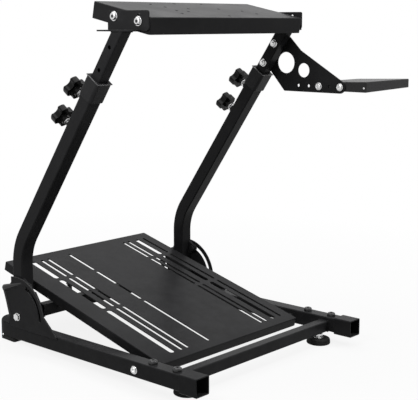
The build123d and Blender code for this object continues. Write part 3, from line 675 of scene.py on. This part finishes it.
def rim_tree():
    """Follows curves with a round bead of even thickness."""
    tree, entry, leave = geometry_tree("Rolled rim", (("Radius", 0.001),))
    bead = tree.nodes.new("GeometryNodeCurvePrimitiveCircle")
    bead.inputs["Resolution"].default_value = 10
    solid = tree.nodes.new("GeometryNodeCurveToMesh")
    solid.inputs["Fill Caps"].default_value = True
    soft = tree.nodes.new("GeometryNodeSetShadeSmooth")
    tree.links.new(entry.outputs["Radius"], bead.inputs["Radius"])
    tree.links.new(entry.outputs["Geometry"], solid.inputs["Curve"])
    tree.links.new(bead.outputs["Curve"], solid.inputs["Profile Curve"])
    tree.links.new(solid.outputs["Mesh"], soft.inputs["Geometry"])
    end_tree(tree, entry, leave, soft.outputs["Geometry"])
    return tree


def run_tree(name, tree, data, values):
    """Runs a Geometry Nodes tree on mesh or curve data and gives back the plain mesh."""
    carrier = bpy.data.objects.new(name + "_carrier", data)
    collection.objects.link(carrier)
    modifier = carrier.modifiers.new("Tree", "NODES")
    modifier.node_group = tree
    for socket in tree.interface.items_tree:
        if socket.item_type == "SOCKET" and socket.in_out == "INPUT" and socket.name in values:
            modifier[socket.identifier] = values[socket.name]
    bpy.context.view_layer.update()
    result = carrier.evaluated_get(bpy.context.evaluated_depsgraph_get())
    mesh = bpy.data.meshes.new_from_object(result)
    mesh.name = name
    carrier.modifiers.remove(modifier)
    bpy.data.objects.remove(carrier)
    return mesh


fasteners_on_seats = fastener_tree()
screw_thread = thread_tree()
weld_run = weld_tree()
rolled_rim = rim_tree()


# Seats for fasteners, each a point and the axis that the fastener points along
def side_seats(x, spots, way):
    """Seats at spots on a plane across the stand, pointing along +X or -X."""
    return [(stand(x, *spot), (way, 0, 0)) for spot in spots]


def both_sides(x, spot, way=1):
    """Seats on both sides of the stand, pointing outwards, or inwards where way is -1."""
    return [(stand(s * x, *spot), (s * way, 0, 0)) for s in SIDES.values()]


def bolt_seat(name, side):
    """The seat of a CAD bolt that points out of a side: the middle of its outer end, less its head."""
    low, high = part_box(name)
    face = (high.x if side > 0 else low.x) - side * deck_bolt_head * MM
    return Vector((face, (low.y + high.y) / 2, (low.z + high.z) / 2)), (side, 0, 0)


def foot_seat(name):
    """The seat of a front foot, on the floor under its middle."""
    low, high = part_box(name)
    return Vector(((low.x + high.x) / 2, (low.y + high.y) / 2, 0.0)), (0, 0, 1)


def post_seat(side):
    """The seat of a post under the pedal plate, at the middle of its foot."""
    posts = [measured(point) for point in corners_of("plate_posts")]
    xs, ys, zs = zip(*[spot for spot in posts if side * spot[0] > 0])
    return stand((min(xs) + max(xs)) / 2, (min(ys) + max(ys)) / 2, min(zs)), off_rail


def seat_mesh(name, seats):
    """Seats as the points of a mesh, with their axes as an attribute."""
    mesh = bpy.data.meshes.new(name + "_seats")
    mesh.from_pydata([point for point, _ in seats], [], [])
    axis = mesh.attributes.new("axis", "FLOAT_VECTOR", "POINT")
    for item, (_, direction) in zip(axis.data, seats):
        item.vector = direction
    return mesh


def set_fasteners(name, pattern, seats, body, finish="zinc_steel", stands_for=()):
    """One fastener of a pattern on each seat, as a piece on a body."""
    values = {"Fastener": patterns[pattern], "Size": 1.0, "Finish": finishes[finish]}
    mesh = run_tree(name, fasteners_on_seats, seat_mesh(name, seats), values)
    add_piece(name, mesh, finish, body, stands_for)


def cut_threads(name, seats, body, radius, length, turns):
    """A screw thread on each seat, as a piece on a body."""
    finish = "zinc_steel"
    values = {"Radius": radius * MM, "Length": length * MM, "Turns": turns, "Finish": finishes[finish]}
    add_piece(name, run_tree(name, screw_thread, seat_mesh(name, seats), values), finish, body)


# Runs of points, each with whether it is closed, for welds and rims
def square_run(centre, first, second, half_a, half_b):
    """A closed square about a centre, along two directions, halves in millimetres."""
    corners = ((-1, -1), (1, -1), (1, 1), (-1, 1))
    return [centre + MM * (a * half_a * first + b * half_b * second) for a, b in corners], True


def round_run(centre, first, second, radius, count=24):
    """A closed circle about a centre."""
    angles = (2 * math.pi * k / count for k in range(count))
    return [centre + MM * radius * (math.cos(t) * first + math.sin(t) * second) for t in angles], True


def run_curve(name, runs):
    """Runs of points as straight curves, each open or closed."""
    curve = bpy.data.curves.new(name + "_runs", "CURVE")
    curve.dimensions = "3D"
    for points, closed in runs:
        line = curve.splines.new("POLY")
        line.points.add(len(points) - 1)
        for spot, point in zip(line.points, points):
            spot.co = (*point, 1.0)
        line.use_cyclic_u = closed
    return curve


def lay_welds(name, runs, body, bead):
    """Weld beads along runs of points, as one piece on a body."""
    values = {"Step": weld_step * MM, "Bead": bead * MM, "Finish": finishes["black_coat"]}
    add_piece(name, run_tree(name, weld_run, run_curve(name, runs), values), "black_coat", body)


def lay_rims(name, runs, body, radius, finish):
    """Round beads along runs of points, radius in millimetres, as one piece on a body."""
    values = {"Radius": radius * MM, "Finish": finishes[finish]}
    add_piece(name, run_tree(name, rolled_rim, run_curve(name, runs), values), finish, body)


# Fastener patterns, each seated on its own XY plane and pointing up Z, in millimetres
patterns = {}


def make_pattern(name, *shapes):
    """Builds a fastener pattern from shape calls and keeps it out of the scene.

    A washer has its radius and two heights, and a hexagon also its chamfer. A socket head has its
    radius, heights, dome, key and key depth. A turned shape has its outline and number of sides.
    """
    bm = bmesh.new()
    for shape, values in shapes:
        shape(bm, *values)
    patterns[name] = bpy.data.objects.new(name + "_pattern", to_mesh(bm, name))


make_pattern(
    "deck_bolt",
    (washer, (9.6, 0.0, 1.6)),
    (socket_head, (7.4, 1.6, 5.8, 2.4, 3.6, 3.0)),
    (lathe, ([(0, -13.6), (3.4, -13.6), (4.0, -13.0), (4.0, 0.5), (0, 0.5)], 28)),
    (hexagon, (8.0, -11.6, -5.8, 0.8)),
)
make_pattern(
    "pivot_bolt",
    (washer, (8.8, 0.0, 1.4)),
    (hexagon, (8.2, 1.4, 5.4, 0.9)),
    (lathe, ([(0, 5.2), (6.2, 5.2), (5.4, 5.7), (3.0, 5.9), (0, 5.9)], 32)),
    (lathe, ([(0, -44.8), (4.2, -44.8), (5.0, -44.0), (5.0, 0.5), (0, 0.5)], 32)),
    (hexagon, (8.6, -44.0, -39.0, 0.9)),
)
make_pattern(
    "hex_nut",
    (washer, (8.8, 0.0, 1.5)),
    (hexagon, (7.4, 1.5, 6.4, 0.8)),
    (lathe, ([(0, 5.8), (3.9, 5.8), (3.9, 8.2), (3.2, 9.0), (0, 9.0)], 28)),
)
make_pattern(
    "post_stud",
    (lathe, ([(0, -0.5), (4.6, -0.5), (4.6, 33.0), (0, 33.0)], 28)),
    (washer, (9.0, 0.0, 1.6)),
    (hexagon, (7.6, 1.6, 7.4, 0.8)),
    (hexagon, (7.6, 24.6, 29.8, 0.8)),
    (washer, (9.0, 29.8, 31.4)),
)
# A black plug set into a deck bolt's key socket, as painted shade in the recess
make_pattern("deck_bolt_socket", (hexagon, (3.55, 3.0, 5.0, 0.1)))
make_pattern("small_rivet", (lathe, ([(0, -0.5), (2.2, -0.5), (2.2, 0.3), (1.6, 1.1), (0, 1.4)], 24)))
make_pattern("pan_bolt", (washer, (8.4, 0.0, 1.4)), (socket_head, (6.9, 1.4, 5.0, 2.4, 2.9, 2.6)))
make_pattern("rail_bolt", (socket_head, (9.3, 0.0, 8.0, 5.0, 3.4, 3.0)))
make_pattern(
    "knob_cap",
    (lathe, ([
        (0, -0.6), (9.0, -0.6), (9.0, 0.5), (8.4, 1.0), (7.4, 1.0),
        (7.0, 0.5), (6.4, 0.5), (5.6, 1.1), (0, 1.7),
    ], 36)),
)
make_pattern(
    "foot_stud",
    (lathe, ([(0, 11.0), (4.2, 11.0), (5.0, 11.8), (5.0, 23.6), (0, 23.6)], 28)),
    (washer, (10.6, 12.2, 13.8)),
    (hexagon, (9.2, 16.6, 22.8, 0.9)),
)
make_pattern(
    "foot_pad",
    (lathe, ([
        (0, 1.2), (19.0, 1.2), (20.0, 0.0), (25.2, 0.0), (26.4, 0.6), (27.0, 1.8), (27.0, 3.2),
        (26.2, 3.7), (26.2, 4.4), (26.8, 4.9), (26.6, 6.4), (25.8, 6.9), (25.8, 7.6), (26.3, 8.1),
        (25.6, 10.8), (24.4, 11.9), (22.5, 12.2), (13.0, 12.2), (12.2, 11.6), (0, 11.6),
    ], 64)),
)

# CAD nodes in their finishes, apart from those that fuller shapes stand for
swapped = ("foot_front", "pivot_bolt", "deck_pivot_bolt", "deck_tilt_bolt", "plate_posts")
for name in nodes:
    if not name.startswith(swapped):
        dress_node(name)

# Bolts and nuts of the base
rail_bolt_seats = [(stand(s * side_x, y, rail_top), off_rail) for s in SIDES.values() for y in rail_bolt_ys]
set_fasteners("rail_top_bolts", "rail_bolt", rail_bolt_seats, "base", "black_bolt")
set_fasteners("plate_side_bolts", "pan_bolt", both_sides(side_x + rail_half, plate_bolt_spot), "base")
set_fasteners("plate_side_nuts", "hex_nut", both_sides(plate_flange_x, plate_bolt_spot, -1), "base")
fold_seats = both_sides(fork_face_x, (fold_y, fold_z))
set_fasteners("fold_bolts", "pivot_bolt", fold_seats, "base", stands_for=pair("pivot_bolt"))

# Bolts, nuts and rivet of the shifter arm and tray
set_fasteners("arm_nuts", "hex_nut", side_seats(side_x - tube_half, arm_bolt_spots, -1), "head")
set_fasteners("arm_bolts", "pan_bolt", side_seats(arm_outer_x, arm_bolt_spots, 1), "head")
set_fasteners("tray_bolts", "pan_bolt", side_seats(arm_inner_x, tray_bolt_spots, -1), "head")
set_fasteners("tray_nuts", "hex_nut", side_seats(arm_outer_x + tray_sheet, tray_bolt_spots, 1), "head")
tray_front = min(measured(point)[1] for point in corners_of("shifter_tray"))
tray_rivet_spot = (tray_front + tray_rivet_inset, tray_row_z)
set_fasteners("tray_rivet", "small_rivet", side_seats(arm_outer_x, (tray_rivet_spot,), -1), "head")

# Rivets of the rail caps
set_fasteners("cap_rivets", "small_rivet", both_sides(side_x + rail_half, cap_rivet_spot), "base")

# Deck bolts, with a black plug in each key socket as painted shade
for bolt, body in (("deck_pivot_bolt", "head"), ("deck_tilt_bolt", "deck")):
    bolt_seats = [bolt_seat(f"{bolt}_{name}", s) for name, s in SIDES.items()]
    set_fasteners(bolt + "s", "deck_bolt", bolt_seats, body, stands_for=pair(bolt))
    set_fasteners(bolt + "_sockets", "deck_bolt_socket", bolt_seats, body, "black_bolt")

# Front feet and the studs that carry the pedal plate
front_feet = pair("foot_front")
foot_seats = [foot_seat(name) for name in front_feet]
set_fasteners("front_foot_pads", "foot_pad", foot_seats, "base", "rubber", stands_for=front_feet)
set_fasteners("front_foot_studs", "foot_stud", foot_seats, "base")
set_fasteners(
    "post_studs", "post_stud", [post_seat(s) for s in SIDES.values()], "base",
    "black_bolt", ["plate_posts"],
)


# Clamp knobs: threads on the screws and a cap in the middle of each knob
def knob_foot(clamp):
    """The middle of a clamp knob's foot."""
    return Vector(joints[clamp + "_turn"]["pos_m"])


bare_screw = knob_standoff - boss_height
for level in LEVELS:
    for clamp in pair(f"clamp_{level}"):
        thread_seats = [(knob_foot(clamp) - slope_back * bare_screw * MM, slope_back)]
        thread_length = bare_screw - hub_reach
        cut_threads(
            f"{clamp}_thread", thread_seats, clamp, clamp_screw_radius, thread_length, clamp_screw_turns
        )
        cap_seats = [(knob_foot(clamp) + slope_back * knob_thickness * MM, slope_back)]
        set_fasteners(f"{clamp}_cap", "knob_cap", cap_seats, clamp, "knob_plastic")

# Weld beads
base_runs, upright_runs, head_runs = [], [], []
for name, s in SIDES.items():
    for (x, y, z), half in tube_welds:
        base_runs.append(square_run(stand(s * x, y, z), along_rail, off_rail, half, half))
    socket_weld = stand(s * side_x, *socket_weld_spot)
    base_runs.append(square_run(socket_weld, across, off_rail, socket_weld_half, socket_weld_half))
    for weld_x, weld_ys in ((side_x + rail_half, outer_weld_ys), (side_x - rail_half, inner_weld_ys)):
        base_runs.append(([stand(s * weld_x, y, bracket_weld_z) for y in weld_ys], False))
    saddle_weld = stand(s * side_x, *saddle_weld_spot)
    head_runs.append(square_run(saddle_weld, across, along_rail, *saddle_weld_halves))
    for level in LEVELS:
        boss_foot = knob_foot(f"clamp_{level}_{name}") - slope_back * knob_standoff * MM
        upright_runs.append(round_run(boss_foot, across, slope_up, boss_weld_radius))
lay_welds("base_welds", base_runs, "base", weld_bead)
lay_welds("upright_welds", upright_runs, "uprights", fine_weld_bead)
lay_welds("head_welds", head_runs, "head", weld_bead)

# Fan brackets: a fine bead along the edge, a rolled rear bend and a pressed ridge
fan_turns = [math.radians(fan_start + fan_sweep * k / fan_steps) for k in range(fan_steps + 1)]
bead_arc = fan_radius - fan_inset
fan_edge = [(fold_y + bead_arc * math.cos(t), fold_z + bead_arc * math.sin(t)) for t in fan_turns]
fan_edge.append(fan_toe_spot)
edge_runs = []
ridges = bmesh.new()
for s in SIDES.values():
    out = s * across
    edge_runs.append(([stand(s * (fork_face_x - fan_inset), *spot) for spot in fan_edge], False))
    bend_foot, bend_head = (
        stand(s * (fork_face_x - bend_sink), *spot) for spot in (bend_foot_spot, bend_head_spot)
    )
    half_bead(ridges, bend_foot, bend_head, out, bend_radius, bend_radius)
    ridge_foot = stand(s * (fork_face_x - ridge_sink), *ridge_spot)
    ridge_tip = ridge_foot + MM * facing(0, *ridge_run)
    half_bead(ridges, ridge_foot, ridge_tip, out, ridge_foot_radius, ridge_tip_radius)
lay_rims("bracket_edges", edge_runs, "base", fan_bead, "gloss_coat")
add_piece("bracket_ridges", to_mesh(ridges, "bracket_ridges"), "gloss_coat", "base")

# Collars: a rolled rim round the top, in a lighter grey that paints a highlight along it
rim_half = collar_half - rim_radius + rim_rise
rim_runs = []
for collar in pair("top_collar"):
    collar_points = corners_of(collar)
    highest = max(point.dot(slope_up) for point in collar_points)
    top_points = [point for point in collar_points if point.dot(slope_up) > highest - rim_catch * MM]
    rim_middle = sum(top_points, Vector()) / len(top_points) - (rim_radius - rim_rise) * MM * slope_up
    rim_runs.append(square_run(rim_middle, across, slope_back, rim_half, rim_half))
lay_rims("collar_rims", rim_runs, "uprights", rim_radius, "rim_highlight_plastic")

# Camera: place in the stand's millimetres, angles in degrees
camera_spot = (-1631.56, -1246.34, 714.68)
camera_dip, camera_turn = 9.7653, -48.2163
camera = bpy.data.objects.new("Camera", bpy.data.cameras.new("Camera"))
collection.objects.link(camera)
bpy.context.scene.camera = camera
camera.data.sensor_width = 36.0
camera.data.lens = 88.915
camera.data.clip_end = 50.0
camera.location = stand(*camera_spot)
look = Euler((math.radians(90 - camera_dip), 0.0, math.radians(camera_turn))).to_matrix()
rail_turn = Matrix((across, along_rail, off_rail)).transposed()
camera.rotation_euler = (rail_turn @ look).to_euler()


# Studio helpers
def seen_ray(tree):
    """One for rays from the camera, from shiny surfaces and through clear ones."""
    rays = tree.nodes.new("ShaderNodeLightPath").outputs
    shiny = maths(tree, "MAXIMUM", rays["Is Camera Ray"], rays["Is Glossy Ray"])
    return maths(tree, "MAXIMUM", shiny, rays["Is Transmission Ray"])


def mixed(tree, mask, first, second):
    """Two shaders mixed by a mask."""
    node = tree.nodes.new("ShaderNodeMixShader")
    tree.links.new(mask, node.inputs["Fac"])
    tree.links.new(first, node.inputs[1])
    tree.links.new(second, node.inputs[2])
    return node.outputs["Shader"]


def even_shader(tree, kind, grey, strength=None):
    """A plain shader in one grey, with a strength where it gives light."""
    node = tree.nodes.new(kind)
    node.inputs["Color"].default_value = (grey, grey, grey, 1.0)
    if strength is not None:
        node.inputs["Strength"].default_value = strength
    return node.outputs[0]


def soft_lamp(name, spot, aim, size, power):
    """A large square lamp at a spot, aimed at a point, in metres and watts."""
    data = bpy.data.lights.new(name, "AREA")
    data.shape = "SQUARE"
    data.size = size
    data.energy = power
    lamp = bpy.data.objects.new(name, data)
    collection.objects.link(lamp)
    lamp.location = spot
    lamp.rotation_euler = (Vector(spot) - Vector(aim)).to_track_quat("Z", "Y").to_euler()


# Floor, seen as white with a faint shadow near the stand
floor_reach = 30.0
paper_grey, bounce_grey = 0.90, 0.20
shadow_near, shadow_far, shadow_white = 0.35, 1.4, 0.86
floor_corners = [(x * floor_reach, y * floor_reach, 0) for x, y in ((-1, -1), (1, -1), (1, 1), (-1, 1))]
floor_mesh = bpy.data.meshes.new("floor")
floor_mesh.from_pydata(floor_corners, [], [(0, 1, 2, 3)])
floor = bpy.data.objects.new("floor", floor_mesh)
collection.objects.link(floor)

pale = bpy.data.materials.new("Pale floor")
pale.use_nodes = True
tree = pale.node_tree
tree.nodes.clear()
paper = even_shader(tree, "ShaderNodeBsdfDiffuse", paper_grey)
bounce = even_shader(tree, "ShaderNodeBsdfDiffuse", bounce_grey)
glow = even_shader(tree, "ShaderNodeEmission", 1.0, strength=1.0)
distance = tree.nodes.new("ShaderNodeVectorMath")
distance.operation = "LENGTH"
tree.links.new(object_place(tree), distance.inputs[0])
whiteness = remap(tree, distance.outputs["Value"], shadow_near, shadow_far, shadow_white, 1.0)
seen = mixed(tree, whiteness, paper, glow)
surface = mixed(tree, seen_ray(tree), bounce, seen)
tree.links.new(surface, tree.nodes.new("ShaderNodeOutputMaterial").inputs["Surface"])
floor_mesh.materials.append(pale)

# Lamps and surroundings
soft_lamp("Overhead softbox", spot=(0.1, 0.4, 3.0), aim=(0.0, 0.0, 0.3), size=3.0, power=62.0)
soft_lamp("Front softbox", spot=(1.4, -2.4, 2.8), aim=(0.0, 0.0, 0.5), size=1.2, power=42.0)
soft_lamp("Side softbox", spot=(-1.1, -0.2, 1.05), aim=(-0.2, 0.0, 0.75), size=0.5, power=4.6)

room_light = 0.15
world = bpy.data.worlds.new("Studio")
bpy.context.scene.world = world
world.use_nodes = True
tree = world.node_tree
tree.nodes.clear()
room = even_shader(tree, "ShaderNodeBackground", 1.0, strength=room_light)
white = even_shader(tree, "ShaderNodeBackground", 1.0, strength=1.0)
around = mixed(tree, seen_ray(tree), room, white)
tree.links.new(around, tree.nodes.new("ShaderNodeOutputWorld").inputs["Surface"])

bpy.context.scene.view_settings.view_transform = "Standard"
